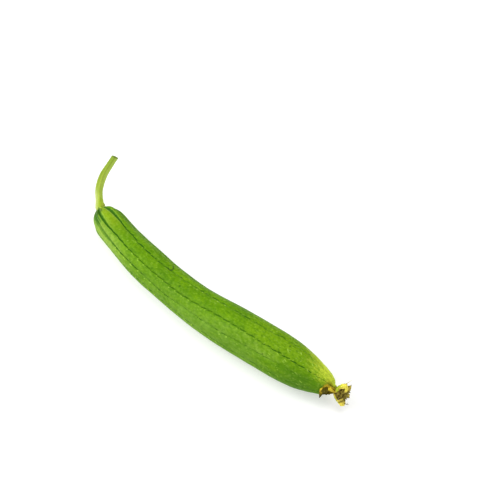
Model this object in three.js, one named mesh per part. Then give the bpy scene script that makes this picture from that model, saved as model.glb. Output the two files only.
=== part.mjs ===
// A sponge gourd as picked, lying on a table: a slightly bent green fruit with ten shallow
// grooves, its cut five-angled stem, and the dried flower that still hangs on its tip.
// Millimetres, +Z up. The stem end points to -X and the flower to +X, and the origin is
// on the table, under the middle of the whole.
import * as THREE from 'three';
import { mergeVertices } from 'three/addons/utils/BufferGeometryUtils.js';

const DEGREE = Math.PI / 180;
const UP = new THREE.Vector3(0, 0, 1);

// The points below are set out from a mark that lies this far from the origin.
const TO_MIDDLE = new THREE.Vector3(1.3, -2.8, 0);

// The fruit's middle line, from the stem end to the flower end.
const FRUIT_MIDDLE = [
  [-157, -0.3, 16.2],
  [-146, -4, 16],
  [-125.5, -8.5, 16],
  [-98, -14.6, 16.9],
  [-62, -21, 18.9],
  [-22.3, -23.8, 18.1],
  [17.7, -25.1, 19.4],
  [61, -22, 21],
  [103, -17.4, 20.9],
  [136, -14.4, 20.4],
  [162.5, -11.2, 19.9],
  [171.4, -10, 20.4],
];

// Half of the fruit's outline: [distance along the middle line, radius].
const FRUIT_OUTLINE = [
  [0, 4.2],
  [3, 5.9],
  [9, 10],
  [17, 13.9],
  [27, 15.8],
  [50, 16.4],
  [95, 18.3],
  [125, 18.2],
  [165, 18.9],
  [215, 21],
  [262, 21.2],
  [282, 20.4],
  [299, 18],
  [313, 14.4],
  [323, 10.9],
  [329, 7.4],
  [331.5, 4],
  [334, 3],
];
const FRUIT_SIDES = 60;
const FRUIT_RINGS = 68;
// How much closer the rings stand at both ends than in the middle, from 0 to 1.
const RING_CROWDING = 0.72;

// Ten grooves run the whole length, at these turns from the top towards the near side,
// in degrees. They lean a little as they go, and fade towards the flower.
const GROOVE_TURNS = [-13, 32, 61, 97, 134, 170, 206, 242, 278, 312];
const GROOVE_LEAN = -0.035;
const LEAN_MIDDLE = 0.4;
const GROOVE_DEPTH = 0.75;
const GROOVE_SHARPNESS = 3;
const GROOVE_FADE = 0.5;
const SHOULDER_RISE = 1.25;
const SHOULDER_START = 12;
const SHOULDER_REACH = 45;
const BODY_RISE = 0.3;
const BODY_FULLNESS = 0.6;

// The stem, a springy stalk that bends up and aside. Its root sits on the fruit's shoulder.
const JOINT_GAP = 0.3;
const STEM_MIDDLE = [
  [-165.1, 6, 17.3],
  [-175.5, 15.2, 21.5],
  [-182.4, 27.9, 28.5],
  [-184.1, 38.9, 34.8],
  [-184.1, 47.5, 41.3],
];
const STEM_RADIUS = 3.68;
const STEM_SWELL = { middle: 34.5, reach: 12, rise: 0.28 };
const STEM_TAPER = { start: 43.5, end: 59.5, fall: 0.2 };
const STEM_ROOT_LENGTH = 1.5;
const STEM_ROOT_FLARE = 1;
const STEM_FLARE_REACH = 4;
const STEM_FLARE_ASIDE = 0.8;
const STEM_ANGLES = 5;
const STEM_RIDGE = 0.08;
const STEM_TWIST = 0.5;
const STEM_CUT_SLANT = 0.2;
const STEM_SIDES = 30;
const STEM_RINGS = 30;

// The dried flower: a yellow trumpet whose lobes are of unequal length, open on the near side.
const FLOWER_AXIS = new THREE.Vector3(0.99, -0.09, 0.11).normalize();
const FLOWER_TOP = new THREE.Vector3(0.01, 0.82, 0.57);
const FLOWER_NECK = 2.5;
const FLOWER_LENGTH = 18;
const TRUMPET_ROOT = 2.6;
const TRUMPET_SLOPE = 26 * DEGREE;
const TRUMPET_CURL = 0.04;
const TRUMPET_WALL = 0.8;
const TRUMPET_FLOOR = 3;
const TRUMPET_RIM = 5;
const TRUMPET_LOBES = [
  { turn: 3 * DEGREE, reach: 8, spread: 34 * DEGREE },
  { turn: -50 * DEGREE, reach: 7.5, spread: 24 * DEGREE },
  { turn: -95 * DEGREE, reach: 6.5, spread: 20 * DEGREE },
  { turn: -143 * DEGREE, reach: 10.5, spread: 26 * DEGREE },
  { turn: 125 * DEGREE, reach: 2.5, spread: 22 * DEGREE },
];
const TRUMPET_PLEATS = 11;
const TRUMPET_PLEAT_DEPTH = 0.5;
const TRUMPET_SIDES = 66;
const TRUMPET_RINGS = 14;

// The brown, shrunken petals stand crumpled inside the trumpet.
const BROWN_START = 3.6;
const BROWN_LENGTH = 7.5;
const BROWN_ROOT = 1.5;
const BROWN_SPREAD = 0.62;
const BROWN_WALL = 0.8;
const BROWN_FLOOR = 1.5;
const BROWN_PLEATS = 6;
const BROWN_PLEAT_DEPTH = 0.24;
const BROWN_PLEAT_START = 3;
const BROWN_BROAD_TEARS = { count: 4, depth: 0.16, turned: 1 };
const BROWN_SMALL_TEARS = { count: 9, depth: 0.1, turned: 0 };
const BROWN_SIDES = 60;
const BROWN_RINGS = 12;

// One petal is folded back over the lower side of the fruit's tip, and its point hangs down.
const FOLDED_START = 3.6;
const FOLDED_LENGTH = 11;
const FOLDED_TURN = 78 * DEGREE;
const FOLDED_DROOP = 22 * DEGREE;
const FOLDED_WIDTH = 11;
const FOLDED_WALL = 0.8;
const FOLDED_LIFT = 1.4;
const FOLDED_STAND = 2;
const FOLDED_WAVE = 0.45;
const FOLDED_WAVES_ACROSS = 5;
const FOLDED_WAVES_ALONG = 7;
// The blade is widest between its root and its point: [share at its point, share added], and how blunt.
const FOLDED_TAPER = [0.12, 0.8];
const FOLDED_BLUNTNESS = 0.7;
const FOLDED_SIDES = 28;
const FOLDED_RINGS = 14;

const SKIN_GREEN = 0x6ea51e;
const STEM_GREEN = 0xa9be4c;
const PETAL_YELLOW = 0xd9c23a;
const PETAL_BROWN = 0x7a6426;
const PETAL_DARK = 0xa58a2c;

// A smooth curve through points given as [x, y, z].
function curveThrough(points) {
  const places = points.map(([x, y, z]) => new THREE.Vector3(x, y, z).add(TO_MIDDLE));
  return new THREE.CatmullRomCurve3(places);
}

// The cross section of a curve at a fraction of its length: its centre and three directions.
function crossSection(curve, fraction, upward) {
  const centre = curve.getPointAt(fraction);
  const ahead = curve.getTangentAt(fraction);
  const aside = new THREE.Vector3().crossVectors(ahead, upward).normalize();
  const above = new THREE.Vector3().crossVectors(aside, ahead);
  return { centre, ahead, aside, above };
}

// A point of a cross section: a turn from the top towards the near side, a radius, and a step ahead.
function pointOn(section, turn, radius, step = 0) {
  return section.centre
    .clone()
    .addScaledVector(section.above, Math.cos(turn) * radius)
    .addScaledVector(section.aside, Math.sin(turn) * radius)
    .addScaledVector(section.ahead, step);
}

// A closed bar of rings with flat ends, each of its points set by place(along, turn, outward):
// along runs from 0 to 1, and outward is 1 on the side and 0 in the middle of an end.
function shapedBar(sides, rings, place) {
  const bar = new THREE.CylinderGeometry(1, 1, 1, sides, rings);
  const position = bar.getAttribute('position');
  const point = new THREE.Vector3();
  for (let i = 0; i < position.count; i += 1) {
    point.fromBufferAttribute(position, i);
    const outward = Math.hypot(point.x, point.z);
    const turn = Math.atan2(point.x, point.z);
    const placed = place(point.y + 0.5, turn, outward);
    position.setXYZ(i, placed.x, placed.y, placed.z);
  }
  bar.deleteAttribute('normal');
  bar.deleteAttribute('uv');
  const body = mergeVertices(bar);
  body.computeVertexNormals();
  return body;
}

function pieceOf(name, geometry, color, roughness) {
  const material = new THREE.MeshStandardMaterial({ color, roughness, metalness: 0 });
  const piece = new THREE.Mesh(geometry, material);
  piece.name = name;
  return piece;
}

// The fruit's skin
const fruitMiddle = curveThrough(FRUIT_MIDDLE);
const fruitOutline = new THREE.SplineCurve(
  FRUIT_OUTLINE.map(([distance, radius]) => new THREE.Vector2(distance, radius)),
);
const outlineLength = FRUIT_OUTLINE[FRUIT_OUTLINE.length - 1][0];

// The turn of a place that is counted in grooves: 2.5 is midway between grooves 2 and 3.
function turnOf(grooves, distance) {
  const lower = Math.floor(grooves) % GROOVE_TURNS.length;
  const upper = (lower + 1) % GROOVE_TURNS.length;
  const width = (GROOVE_TURNS[upper] - GROOVE_TURNS[lower] + 360) % 360;
  const lean = GROOVE_LEAN * (distance - outlineLength * LEAN_MIDDLE);
  return (GROOVE_TURNS[lower] + (grooves - Math.floor(grooves)) * width + lean) * DEGREE;
}

// How far the skin stands out from its round radius: lobes that are fullest on the shoulder,
// parted by narrow grooves.
function skinRelief(distance, grooves) {
  const wave = Math.abs(Math.sin(Math.PI * grooves));
  const fromStem = distance / SHOULDER_REACH;
  const shoulder = Math.exp(-fromStem * fromStem) * Math.min(distance / SHOULDER_START, 1);
  const body = Math.sin(Math.PI * Math.min(distance / outlineLength, 1)) ** BODY_FULLNESS;
  const rise = SHOULDER_RISE * shoulder + BODY_RISE * body;
  const kept = 1 - (GROOVE_FADE * distance) / outlineLength;
  const groove = GROOVE_DEPTH * Math.max(shoulder, body * kept);
  return rise * wave - groove * (1 - wave) ** GROOVE_SHARPNESS;
}

function fruitSection(distance) {
  return crossSection(fruitMiddle, THREE.MathUtils.clamp(distance / outlineLength, 0, 1), UP);
}

// Where the fruit presses on the table its skin is flat.
function fruitGeometry() {
  return shapedBar(FRUIT_SIDES, FRUIT_RINGS, (along, turn, outward) => {
    const crowded = along - (RING_CROWDING * Math.sin(2 * Math.PI * along)) / (2 * Math.PI);
    const { x: distance, y: radius } = fruitOutline.getPointAt(crowded);
    const grooves = (GROOVE_TURNS.length * (turn + Math.PI)) / (2 * Math.PI);
    const reach = (radius + skinRelief(distance, grooves)) * outward;
    const point = pointOn(fruitSection(distance), turnOf(grooves, distance), reach);
    point.z = Math.max(point.z, 0);
    return point;
  });
}

// The stem swells in its middle and tapers to its cut end.
function stemRadius(distance) {
  const { middle, reach, rise } = STEM_SWELL;
  const { start, end, fall } = STEM_TAPER;
  const off = (distance - middle) / reach;
  const taper = THREE.MathUtils.smoothstep(distance, start, end);
  return STEM_RADIUS + rise * Math.exp(-off * off) - fall * taper;
}

function stemGeometry() {
  const root = fruitSection(0);
  const path = new THREE.CatmullRomCurve3([
    root.centre.clone().addScaledVector(root.ahead, -JOINT_GAP),
    root.centre.clone().addScaledVector(root.ahead, -JOINT_GAP - STEM_ROOT_LENGTH),
    ...STEM_MIDDLE.map(([x, y, z]) => new THREE.Vector3(x, y, z).add(TO_MIDDLE)),
  ]);
  const length = path.getLength();
  return shapedBar(STEM_SIDES, STEM_RINGS, (along, turn, outward) => {
    const section = crossSection(path, along, UP);
    const spread = STEM_ROOT_FLARE * (1 + STEM_FLARE_ASIDE * Math.sin(turn));
    const flare = spread * Math.exp((-along * length) / STEM_FLARE_REACH);
    const ridge = 1 + STEM_RIDGE * Math.cos(STEM_ANGLES * (turn - STEM_TWIST * along));
    const radius = (stemRadius(along * length) + flare) * ridge * outward;
    const slant = along === 1 ? -STEM_CUT_SLANT * radius * Math.cos(turn) : 0;
    return pointOn(section, turn, radius, slant);
  });
}

// The flower's middle line leaves the fruit's tip and turns to the flower's own axis.
const tip = fruitSection(outlineLength);
const flowerRoot = tip.centre.clone().addScaledVector(tip.ahead, JOINT_GAP);
const flowerBend = flowerRoot.clone().addScaledVector(tip.ahead, FLOWER_NECK);
const flowerMiddle = new THREE.QuadraticBezierCurve3(
  flowerRoot,
  flowerBend,
  flowerBend.clone().addScaledVector(FLOWER_AXIS, FLOWER_LENGTH),
);
const flowerLength = flowerMiddle.getLength();

function flowerSection(distance) {
  return crossSection(flowerMiddle, THREE.MathUtils.clamp(distance / flowerLength, 0, 1), FLOWER_TOP);
}

function angleBetween(a, b) {
  return Math.abs(Math.atan2(Math.sin(a - b), Math.cos(a - b)));
}

function trumpetReach(turn) {
  const reaches = TRUMPET_LOBES.map((lobe) => {
    const off = angleBetween(turn, lobe.turn) / lobe.spread;
    return lobe.reach * Math.exp(-off * off);
  });
  return TRUMPET_RIM + Math.max(...reaches);
}

// Where the trumpet's wall is, at a distance up its slope: [distance ahead, radius].
function trumpetWall(distance) {
  const lean = TRUMPET_SLOPE + TRUMPET_CURL * distance;
  const ahead = (Math.sin(lean) - Math.sin(TRUMPET_SLOPE)) / TRUMPET_CURL;
  const radius = TRUMPET_ROOT + (Math.cos(TRUMPET_SLOPE) - Math.cos(lean)) / TRUMPET_CURL;
  return { ahead, radius, lean };
}

// The wall goes out to the rim and comes back inside, down to the trumpet's floor.
function trumpetGeometry() {
  const outerRings = TRUMPET_RINGS / 2;
  return shapedBar(TRUMPET_SIDES, TRUMPET_RINGS, (along, turn, outward) => {
    const ring = Math.round(along * TRUMPET_RINGS);
    const inside = ring > outerRings;
    const reach = trumpetReach(turn);
    const climb = inside
      ? THREE.MathUtils.mapLinear(ring, outerRings + 1, TRUMPET_RINGS, reach, TRUMPET_FLOOR)
      : (reach * ring) / outerRings;
    const wall = trumpetWall(outward < 0.5 && inside ? TRUMPET_FLOOR : climb);
    const pleat = TRUMPET_PLEAT_DEPTH * Math.cos(TRUMPET_PLEATS * turn) * (climb / reach) ** 2;
    const side = inside ? -TRUMPET_WALL : 0;
    const radius = (wall.radius + pleat + side * Math.cos(wall.lean)) * outward;
    const step = wall.ahead - side * Math.sin(wall.lean);
    return pointOn(flowerSection(step), turn, radius);
  });
}

function tear({ count, depth, turned }, turn) {
  return depth * Math.sin(count * turn + turned);
}

function brownPetalsGeometry() {
  const outerRings = BROWN_RINGS / 2;
  return shapedBar(BROWN_SIDES, BROWN_RINGS, (along, turn, outward) => {
    const ring = Math.round(along * BROWN_RINGS);
    const inside = ring > outerRings;
    const ragged = 1 + tear(BROWN_BROAD_TEARS, turn) + tear(BROWN_SMALL_TEARS, turn);
    const reach = BROWN_LENGTH * ragged;
    const climb = inside
      ? THREE.MathUtils.mapLinear(ring, outerRings + 1, BROWN_RINGS, reach, BROWN_FLOOR)
      : (reach * ring) / outerRings;
    const depth = BROWN_PLEAT_DEPTH * Math.min(climb / BROWN_PLEAT_START, 1);
    const pleats = 1 + depth * Math.sin(BROWN_PLEATS * turn);
    const wall = inside ? BROWN_WALL : 0;
    const radius = ((BROWN_ROOT + BROWN_SPREAD * climb) * pleats - wall) * outward;
    return pointOn(flowerSection(BROWN_START + climb), turn, radius);
  });
}

// The folded petal is a thin waved blade. It follows the fruit's outline back from the tip.
function foldedPetalGeometry() {
  const outlineArc = fruitOutline.getLength();
  return shapedBar(FOLDED_SIDES, FOLDED_RINGS, (along, turn, outward) => {
    const back = 1 - along;
    const across = Math.sin(turn) * outward;
    const face = Math.sign(Math.cos(turn)) * Math.sqrt(Math.abs(Math.cos(turn))) * outward;
    const passed = FOLDED_START + FOLDED_LENGTH * back;
    const { x: distance, y: radius } = fruitOutline.getPointAt(1 - passed / outlineArc);
    const slope = fruitOutline.getTangentAt(1 - passed / outlineArc);
    const leaf = Math.sin(Math.PI * (FOLDED_TAPER[0] + FOLDED_TAPER[1] * along)) ** FOLDED_BLUNTNESS;
    const wave = FOLDED_WAVE * Math.sin(FOLDED_WAVES_ACROSS * across + FOLDED_WAVES_ALONG * along);
    const lift = FOLDED_LIFT + FOLDED_STAND * back ** 3 + wave + (FOLDED_WALL / 2) * face;
    const middle = FOLDED_TURN + FOLDED_DROOP * back * back;
    const around = middle + (across * leaf * FOLDED_WIDTH) / 2 / (radius + FOLDED_LIFT);
    return pointOn(fruitSection(distance), around, radius + slope.x * lift, -slope.y * lift);
  });
}

const group = new THREE.Group();
group.add(pieceOf('fruit', fruitGeometry(), SKIN_GREEN, 0.5));
group.add(pieceOf('stem', stemGeometry(), STEM_GREEN, 0.6));
group.add(pieceOf('yellow_petals', trumpetGeometry(), PETAL_YELLOW, 0.7));
group.add(pieceOf('brown_petals', brownPetalsGeometry(), PETAL_BROWN, 0.85));
group.add(pieceOf('folded_petal', foldedPetalGeometry(), PETAL_DARK, 0.8));

export default group;
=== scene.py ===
# The looks of a sponge gourd that lies on a table as picked: a slightly bent green fruit with
# dark lines in its shallow grooves, a cut five-angled stem, and the dried flower on its tip.
# Metres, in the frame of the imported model. The stem end points to -X and the flower to +X.
import math
from functools import partialmethod

import bmesh
import bpy
import numpy as np
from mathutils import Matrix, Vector, noise


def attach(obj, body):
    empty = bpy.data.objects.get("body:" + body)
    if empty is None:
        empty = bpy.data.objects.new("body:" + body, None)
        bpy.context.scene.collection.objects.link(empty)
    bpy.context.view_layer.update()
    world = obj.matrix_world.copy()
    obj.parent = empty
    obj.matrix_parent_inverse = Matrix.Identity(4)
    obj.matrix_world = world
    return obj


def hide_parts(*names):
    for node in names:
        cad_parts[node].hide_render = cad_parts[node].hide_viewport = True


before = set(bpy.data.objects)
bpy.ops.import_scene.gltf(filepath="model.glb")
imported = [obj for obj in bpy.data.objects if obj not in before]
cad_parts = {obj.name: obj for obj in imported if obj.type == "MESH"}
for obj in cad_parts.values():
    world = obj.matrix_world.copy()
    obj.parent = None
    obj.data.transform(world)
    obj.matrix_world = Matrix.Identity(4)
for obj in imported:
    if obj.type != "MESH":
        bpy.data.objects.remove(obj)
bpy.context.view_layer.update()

MM = 0.001
UP = (0, 0, 1)

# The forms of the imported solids, in millimetres. Points are set out from a mark that lies
# this far from the origin.
TO_MIDDLE = np.array([1.3, -2.8, 0])
FRUIT_MIDDLE = [
    (-157, -0.3, 16.2), (-146, -4, 16), (-125.5, -8.5, 16), (-98, -14.6, 16.9),
    (-62, -21, 18.9), (-22.3, -23.8, 18.1), (17.7, -25.1, 19.4), (61, -22, 21),
    (103, -17.4, 20.9), (136, -14.4, 20.4), (162.5, -11.2, 19.9), (171.4, -10, 20.4),
]
FRUIT_OUTLINE = [
    (0, 4.2), (3, 5.9), (9, 10), (17, 13.9), (27, 15.8), (50, 16.4), (95, 18.3), (125, 18.2),
    (165, 18.9), (215, 21), (262, 21.2), (282, 20.4), (299, 18), (313, 14.4), (323, 10.9),
    (329, 7.4), (331.5, 4), (334, 3),
]
RING_CROWDING = 0.72
GROOVE_TURNS = np.array([-13, 32, 61, 97, 134, 170, 206, 242, 278, 312])
GROOVE_COUNT = len(GROOVE_TURNS)
GROOVE_LEAN = -0.035
LEAN_MIDDLE = 0.4
GROOVE_DEPTH = 0.75
SHOULDER_RISE = 1.25
BODY_RISE = 0.3
SHOULDER_REACH = 45
SHOULDER_START = 12
STEM_MIDDLE = [
    (-165.1, 6, 17.3), (-175.5, 15.2, 21.5), (-182.4, 27.9, 28.5), (-184.1, 38.9, 34.8),
    (-184.1, 47.5, 41.3),
]
STEM_RADIUS = 3.68


# -------- curves

PATH_STEPS = 60
SEED_STEP = 17.3


class Path:
    """A smooth curve through points. It gives its places and directions by distance."""

    def __init__(self, points, open_ended=True):
        given = np.array(points, float)
        before = 2 * given[0] - given[1] if open_ended else given[0]
        after = 2 * given[-1] - given[-2] if open_ended else given[-1]
        padded = np.vstack([before, given, after])
        share = np.linspace(0, 1, PATH_STEPS, endpoint=False)[:, None]
        stretches = []
        for a, b, c, d in zip(padded, padded[1:], padded[2:], padded[3:]):
            gaps = [np.linalg.norm(q - p) ** 0.5 for p, q in ((a, b), (b, c), (c, d))]
            first, middle, last = gaps if open_ended else (1, 1, 1)
            leave = ((b - a) / first - (c - a) / (first + middle) + (c - b) / middle) * middle
            arrive = ((c - b) / middle - (d - b) / (middle + last) + (d - c) / last) * middle
            square = 3 * (c - b) - 2 * leave - arrive
            cube = 2 * (b - c) + leave + arrive
            stretches.append(b + leave * share + square * share ** 2 + cube * share ** 3)
        self.points = np.vstack([*stretches, given[-1:]])
        steps = np.linalg.norm(np.diff(self.points, axis=0), axis=1)
        self.travelled = np.concatenate([[0], np.cumsum(steps)])
        self.length = self.travelled[-1]
        self.headings = np.gradient(self.points, axis=0)

    def along(self, rows, share):
        distance = np.clip(share, 0, 1) * self.length
        return np.stack([np.interp(distance, self.travelled, row) for row in rows.T], axis=-1)

    def at(self, share):
        return self.along(self.points, share)

    def section(self, share, upward):
        """The cross section there: its centre, and the directions ahead, aside and above."""
        ahead = unit(self.along(self.headings, share))
        aside = unit(np.cross(ahead, upward))
        return self.at(share), ahead, aside, np.cross(aside, ahead)


def unit(vectors):
    return vectors / np.linalg.norm(vectors, axis=-1, keepdims=True)


def point_on(section, turn, radius, step=0):
    """Points of cross sections, at a turn from the top towards the near side."""
    centre, ahead, aside, above = section
    out_up = (np.cos(turn) * radius)[..., None]
    out_aside = (np.sin(turn) * radius)[..., None]
    return centre + above * out_up + aside * out_aside + ahead * np.asarray(step)[..., None]


def rough(points, size, seed):
    """Smooth noise from about -1 to 1 at each point, with lumps of that size."""
    return np.array([noise.noise(Vector(p)) for p in points / size + seed * SEED_STEP])


def ease(value, start, end):
    """0 before start, 1 after end, and smooth between them."""
    share = np.clip((value - start) / (end - start), 0, 1)
    return share * share * (3 - 2 * share)


# -------- pieces

def shaped_grid(bm, across, along, place, layer, dry=None):
    """Adds a grid of across by along faces, each corner set by place(u, v), both from 0 to 1.
    Place returns the corners in millimetres, their two numbers for the UV map, and on the flower
    how dry they are."""
    corners = bmesh.ops.create_grid(bm, x_segments=across, y_segments=along, size=0.5)["verts"]
    flat = np.array([corner.co[:2] for corner in corners]) + 0.5
    places, marks, *tones = place(flat[:, 0], flat[:, 1])
    marks = np.stack(marks, axis=-1)
    number = {}
    for i, (corner, point) in enumerate(zip(corners, places)):
        corner.co = Vector(point) * MM
        number[corner] = i
        if tones:
            corner[dry] = tones[0][i]
    faces = {face for corner in corners for face in corner.link_faces}
    for face in faces:
        for loop in face.loops:
            loop[layer].uv = marks[number[loop.vert]]
    return corners, list(faces)


def added(name, data):
    """An object with this data, added to the scene."""
    made = bpy.data.objects.new(name, data)
    bpy.context.scene.collection.objects.link(made)
    return made


def added_mesh(name, bm, material):
    mesh = bpy.data.meshes.new(name)
    bm.to_mesh(mesh)
    bm.free()
    mesh.materials.append(material)
    return added(name, mesh)


def finished_piece(name, bm, material, node):
    """Makes the piece's object. It rides with the gourd and stands for its solid."""
    bmesh.ops.recalc_face_normals(bm, faces=bm.faces)
    piece = added_mesh(name, bm, material)
    piece.data.shade_smooth()
    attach(piece, "root")
    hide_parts(node)


# -------- materials

class Value:
    """A number in a material. Sums and products of values add the nodes that work them out."""

    def __init__(self, finish, socket):
        self.finish = finish
        self.socket = socket

    def maths(self, operation, *others):
        made = self.finish.node("Math", {"operation": operation}, dict(enumerate((self, *others))))
        return Value(self.finish, made.outputs[0])

    __add__ = __radd__ = partialmethod(maths, "ADD")
    __mul__ = __rmul__ = partialmethod(maths, "MULTIPLY")
    __sub__ = partialmethod(maths, "SUBTRACT")
    __truediv__ = partialmethod(maths, "DIVIDE")
    __pow__ = partialmethod(maths, "POWER")
    __abs__ = partialmethod(maths, "ABSOLUTE")
    floor = partialmethod(maths, "FLOOR")
    cos = partialmethod(maths, "COSINE")
    at_most = partialmethod(maths, "MINIMUM")
    at_least = partialmethod(maths, "MAXIMUM")

    def __rsub__(self, other):
        made = self.finish.node("Math", {"operation": "SUBTRACT"}, {0: other, 1: self})
        return Value(self.finish, made.outputs[0])

    def ease(self, start, end):
        """0 at start, 1 at end, and smooth between them."""
        inputs = {0: self, 1: start, 2: end, 3: 0, 4: 1}
        made = self.finish.node("MapRange", {"interpolation_type": "SMOOTHSTEP"}, inputs)
        return Value(self.finish, made.outputs[0])

    def between(self, start, full, fading, end):
        """0 before start, 1 from full to fading, and 0 after end."""
        return self.ease(start, full) * self.ease(end, fading)

    def within(self, first, last):
        """1 where a whole number lies from first to last, and 0 elsewhere."""
        return self.between(first - 0.6, first - 0.4, last + 0.4, last + 0.6)


class Finish:
    """The nodes of one material."""

    def __init__(self, name):
        self.material = bpy.data.materials.new(name)
        self.material.use_nodes = True
        self.tree = self.material.node_tree
        self.shader = self.tree.nodes["Principled BSDF"]

    def feed(self, socket, value):
        if isinstance(value, Value):
            value = value.socket
        if isinstance(value, bpy.types.NodeSocket):
            self.tree.links.new(value, socket)
        else:
            socket.default_value = value

    def node(self, kind, settings=None, inputs=None):
        """Adds a node: first its settings, then the values or links of its sockets."""
        made = self.tree.nodes.new("ShaderNode" + kind)
        for name, value in (settings or {}).items():
            if name == "stops":
                self.set_stops(made.color_ramp, value)
            else:
                setattr(made, name, value)
        for name, value in (inputs or {}).items():
            self.feed(made.inputs[name], value)
        return made

    def set_stops(self, ramp, stops):
        while len(ramp.elements) < len(stops):
            ramp.elements.new(1)
        for element, (position, color) in zip(ramp.elements, stops):
            element.position = position
            element.color = color

    def value(self, made, output=0):
        return Value(self, made.outputs[output])

    def map_numbers(self, name):
        """The two numbers of the piece's own map."""
        place = self.node("UVMap", {"uv_map": name})
        parts = self.node("SeparateXYZ", None, {0: place.outputs[0]})
        return self.value(parts, 0), self.value(parts, 1)

    def vector(self, x, y):
        return self.node("CombineXYZ", None, {0: x, 1: y}).outputs[0]

    def object_place(self, stretch=1):
        """Object coordinates, pulled out lengthwise by this factor."""
        inputs = {"Vector": self.node("TexCoord").outputs["Object"], "Scale": (1 / stretch, 1, 1)}
        return self.node("Mapping", None, inputs).outputs[0]

    def noise(self, place, scale, detail=2, roughness=0.5):
        inputs = {"Vector": place, "Scale": scale, "Detail": detail, "Roughness": roughness}
        return self.value(self.node("TexNoise", None, inputs))

    def spots(self, place, scale, size, share, flat=True):
        """Scattered spots of that size, in a share of the cells they are strewn over."""
        kind = {"voronoi_dimensions": "2D" if flat else "3D"}
        made = self.node("TexVoronoi", kind, {"Vector": place, "Scale": scale})
        parts = self.node("SeparateXYZ", None, {0: made.outputs["Color"]})
        chance = self.value(parts, 0)
        return self.value(made, "Distance").ease(size, size * 0.35) * chance.ease(share, share - 0.04)

    def mix(self, share, first, second):
        made = self.node("Mix", {"data_type": "RGBA"}, {0: share, 6: first, 7: second})
        return made.outputs[2]

    def paint(self, under, *layers):
        """Lays colours over the one under them. A layer is how much of it shows, and its colour."""
        for share, tint in layers:
            under = self.mix(share, under, tint)
        return under

    def bump(self, height, depth):
        inputs = {"Height": height, "Distance": depth, "Strength": 1.0}
        return self.node("Bump", None, inputs).outputs[0]

    def coat(self, color, roughness, normal, **plain):
        """Sets what the surface shows. The plain numbers are the same all over it."""
        for name, value in (("Base Color", color), ("Roughness", roughness), ("Normal", normal)):
            self.feed(self.shader.inputs[name], value)
        for name, number in plain.items():
            self.shader.inputs[name.replace("_", " ")].default_value = number
        return self.material


def color(red, green, blue):
    """A colour as it looks on screen, from 0 to 255, as the renderer wants it."""
    return tuple(((part / 255 + 0.055) / 1.055) ** 2.4 for part in (red, green, blue)) + (1.0,)


# -------- the fruit's skin

fruit_middle = Path(np.array(FRUIT_MIDDLE) + TO_MIDDLE)
fruit_outline = Path(FRUIT_OUTLINE, open_ended=False)
fruit_length = FRUIT_OUTLINE[-1][0]

# How far the three grooves that face the camera stray from their straight run:
# [distance, degrees]. The others stray by slow waves.
GROOVE_STRAY = {
    0: [(0, -14), (12, -4.5), (32, -4.9), (43, -3.2), (48, -2.2), (55, -0.1), (61, 0.1), (67, 0.6),
        (74, 2.5), (82, 7), (95, 8.3), (110, 8.7), (120, 8), (130, 5.5), (145, 2.5), (159, 0), (185, -2),
        (223, 4), (257, 7), (292, -4), (334, -6)],
    1: [(0, -18), (11, -10.5), (16, -5.2), (23, -2.8), (29, -1.3), (35, 0.4), (40, 0), (47, -1),
        (53, -1.1), (59, -1.9), (65, -0.4), (70, -1.6), (78, 0), (86, 0), (96, -0.5), (105, 0.7),
        (115, 1.6), (124, 1.4), (133, 0.4), (146, 2.5), (161, 2.1), (174, -0.5), (204, -3.5), (233, -1.5),
        (259, 1.4), (290, 1.5), (334, -1)],
    2: [(0, -20), (15, -15), (22, -12), (27, -10), (31, -6.8), (35, -3.6), (45, -1.7), (52, -1.5),
        (57, -1.6), (63, -0.6), (70, 0.7), (82, 1.2), (94, -0.5), (107, 0), (122, 2.3), (144, 5.2),
        (157, 3.2), (171, -0.9), (220, 2), (280, -2), (334, 0)],
}
STRAY_WAVE = 2.2
STRAY_BLUR = 7
CREASE_DEPTH = 0.3
CREASE_WIDTH = 0.05
# Where the shoulder stands out or in beside its lobes: [place counted in grooves, distance,
# height], and how wide such a bump is in grooves and in millimetres.
SHOULDER_BUMPS = [(12.5, 19, -0.5), (9.35, 11, 1.1)]
BUMP_WIDTH = (0.45, 8)
# The skin's map starts underneath, between two grooves.
SEAM = 6.5
COLUMNS_PER_LOBE = 19
COLUMN_CROWDING = 0.5
SKIN_RINGS = 470
# How many of the outermost rings close the skin at each end, and how many are less uneven.
CLOSING_RINGS = 3
CALM_RINGS = 12
LUMP_HEIGHT = 0.16
STREAK_HEIGHT = 0.06
TIP_STREAK_HEIGHT = 0.22


def groove_stray(groove, distance):
    if groove in GROOVE_STRAY:
        marks = np.array(GROOVE_STRAY[groove])
        run = np.arange(0, fruit_length + 1.0)
        eased = np.interp(run, marks[:, 0], marks[:, 1])
        padded = np.pad(eased, STRAY_BLUR // 2, mode="edge")
        blur = np.full(STRAY_BLUR, 1 / STRAY_BLUR)
        return np.interp(distance, run, np.convolve(padded, blur, mode="valid"))
    slow = STRAY_WAVE * np.sin(distance / 31 + groove * 2.4)
    return slow + STRAY_WAVE / 2 * np.sin(distance / 13 + groove)


def turn_of(grooves, distance):
    """The turn of a place that is counted in grooves: 2.5 is midway between grooves 2 and 3."""
    turns = np.stack([GROOVE_TURNS[k] + groove_stray(k, distance) for k in range(GROOVE_COUNT)])
    lower = np.floor(grooves).astype(int) % GROOVE_COUNT
    upper = (lower + 1) % GROOVE_COUNT
    column = np.arange(len(grooves))
    width = (turns[upper, column] - turns[lower, column]) % 360
    lean = GROOVE_LEAN * (distance - fruit_length * LEAN_MIDDLE)
    return np.radians(turns[lower, column] + (grooves % 1) * width + lean)


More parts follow.
